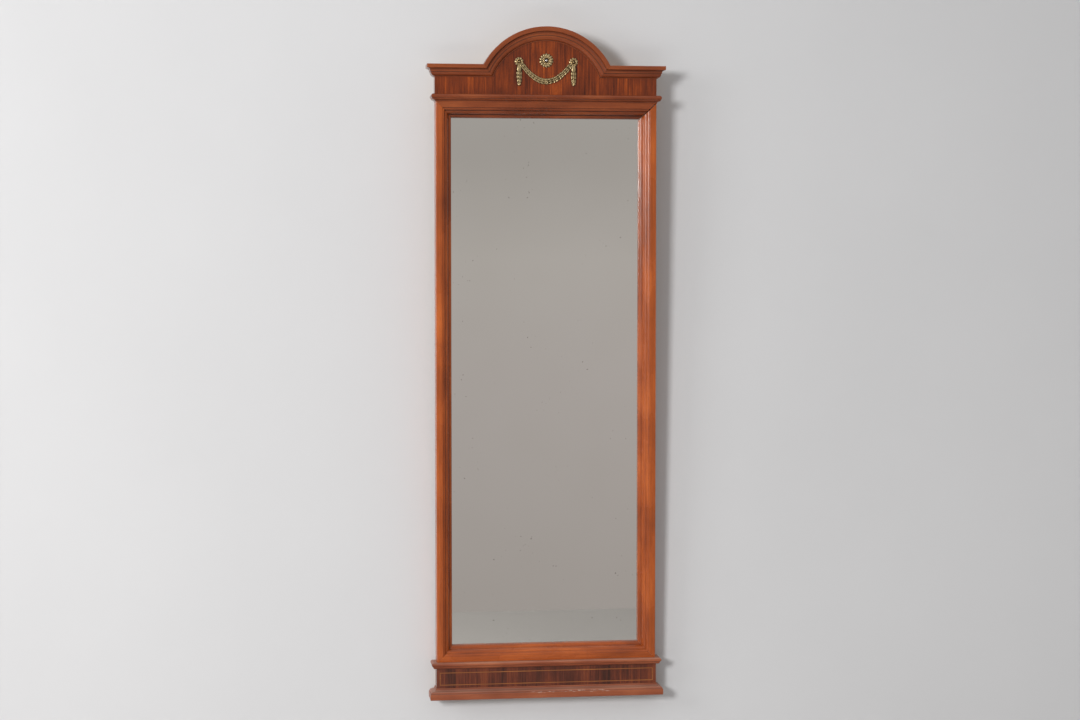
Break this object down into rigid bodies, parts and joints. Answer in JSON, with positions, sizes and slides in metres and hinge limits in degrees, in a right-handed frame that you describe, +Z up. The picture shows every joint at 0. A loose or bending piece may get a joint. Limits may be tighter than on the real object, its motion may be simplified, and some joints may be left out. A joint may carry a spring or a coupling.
{
  "type": "pier mirror",
  "caption": "Tall wall mirror in a moulded mahogany frame, with an arched crest, a brass rosette and swag, an inlaid plinth and a hanging ring behind.",
  "frame": {"origin": "on the flat back of the top rail, in the middle of the mirror's width, in the plane of the wall", "axes": "+Z up along the frame, +X to the right seen from the front, +Y into the wall, so the mirror faces -Y"},
  "size_m": [0.499, 0.0555, 1.3995],
  "materials": {
    "mahogany": "French-polished mahogany",
    "frieze_veneer": "French-polished mahogany veneer with upright grain",
    "plinth_veneer": "French-polished dark veneer",
    "stringing": "polished light stringing",
    "pine": "bare aged softwood",
    "mirror": "silvered plate glass",
    "brass": "aged gilt brass",
    "steel": "dull steel"
  },
  "bodies": {
    "mirror": {"stile_left": "mahogany", "stile_right": "mahogany", "top_rail": "mahogany", "bottom_rail": "mahogany", "mitre_tongue_bottom_left": "pine", "mitre_tongue_bottom_right": "pine", "mitre_tongue_top_left": "pine", "mitre_tongue_top_right": "pine", "mirror_plate": "mirror", "plate_slip_left": "pine", "plate_slip_right": "pine", "back_board": "pine", "crest_board": "pine", "frieze_veneer": "frieze_veneer", "cornice_arch": "mahogany", "cornice_wing_left": "mahogany", "cornice_wing_right": "mahogany", "cornice_return_left": "mahogany", "cornice_return_right": "mahogany", "necking_front": "mahogany", "necking_return_left": "mahogany", "necking_return_right": "mahogany", "crest_dowel_left": "pine", "crest_batten_left": "pine", "crest_screw_left_rail": "steel", "crest_screw_left_board": "steel", "crest_dowel_right": "pine", "crest_batten_right": "pine", "crest_screw_right_rail": "steel", "crest_screw_right_board": "steel", "plinth_dowel_left": "pine", "plinth_batten_left": "pine", "plinth_screw_left_rail": "steel", "plinth_screw_left_board": "steel", "plinth_dowel_right": "pine", "plinth_batten_right": "pine", "plinth_screw_right_rail": "steel", "plinth_screw_right_board": "steel", "plinth_board": "pine", "plinth_veneer": "plinth_veneer", "stringing_top": "stringing", "stringing_bottom": "stringing", "stringing_left": "stringing", "stringing_right": "stringing", "bead_front": "mahogany", "bead_return_left": "mahogany", "bead_return_right": "mahogany", "base_front": "mahogany", "base_return_left": "mahogany", "base_return_right": "mahogany", "rosette_mount": "brass", "swag_mount": "brass", "swag_pin_left": "brass", "swag_pin_right": "brass", "rosette_pin": "steel", "hanger_strap": "steel", "hanger_screw_upper": "steel", "hanger_screw_lower": "steel"},
    "ring": {"hanger_ring": "steel"}
  },
  "joints": [
    {"name": "ring_swing", "type": "hinge", "parent": "mirror", "child": "ring", "pos_m": [0, -0.00505, 0.07525], "axis": [1, 0, 0], "range_deg": [0, 180]}
  ]
}
